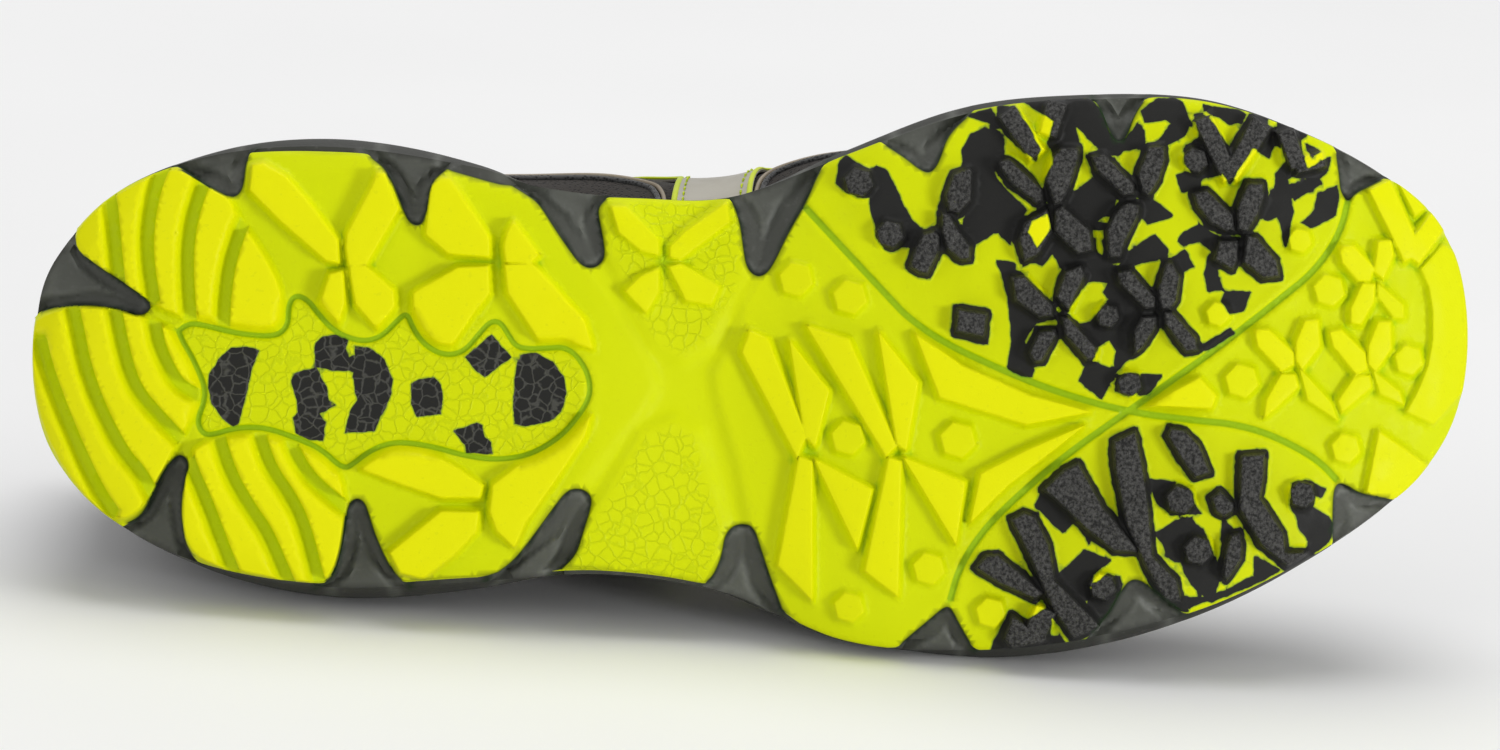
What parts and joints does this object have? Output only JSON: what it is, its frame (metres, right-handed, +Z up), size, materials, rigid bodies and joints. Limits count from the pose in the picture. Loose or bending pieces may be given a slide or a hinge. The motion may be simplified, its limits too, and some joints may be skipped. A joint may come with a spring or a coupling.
{
  "type": "trail running shoe",
  "caption": "Left trail running shoe lying empty on its outer side: lugged lime rubber outsole, dark foam midsole showing in edge notches, laced mesh upper.",
  "frame": {"origin": "Centre of the bottom of the box round the whole shoe, on the floor that it lies on.", "axes": "+X from the heel to the toe, +Z up from the floor, -Y towards the side that the tread faces. The outer side of the shoe is down."},
  "size_m": [0.2998, 0.1342, 0.1174],
  "materials": {
    "lime_rubber": "satin rubber with rough grained lug tops, lime and yellow with black patches",
    "grey_foam": "satin moulded foam",
    "insole_cloth": "matt brushed cloth",
    "black_mesh": "open knitted mesh",
    "grey_film": "matt welded film",
    "silver_film": "satin film with a lime edge",
    "lime_webbing": "flat woven lace"
  },
  "bodies": {
    "root": {"outsole": "lime_rubber", "midsole": "grey_foam", "insole": "insole_cloth", "upper": "black_mesh", "tongue": "black_mesh", "toe_cap": "grey_film", "heel_counter": "grey_film", "eyestay": "grey_film", "side_panel_inner": "silver_film", "side_panel_outer": "silver_film", "lace": "lime_webbing"}
  },
  "joints": []
}
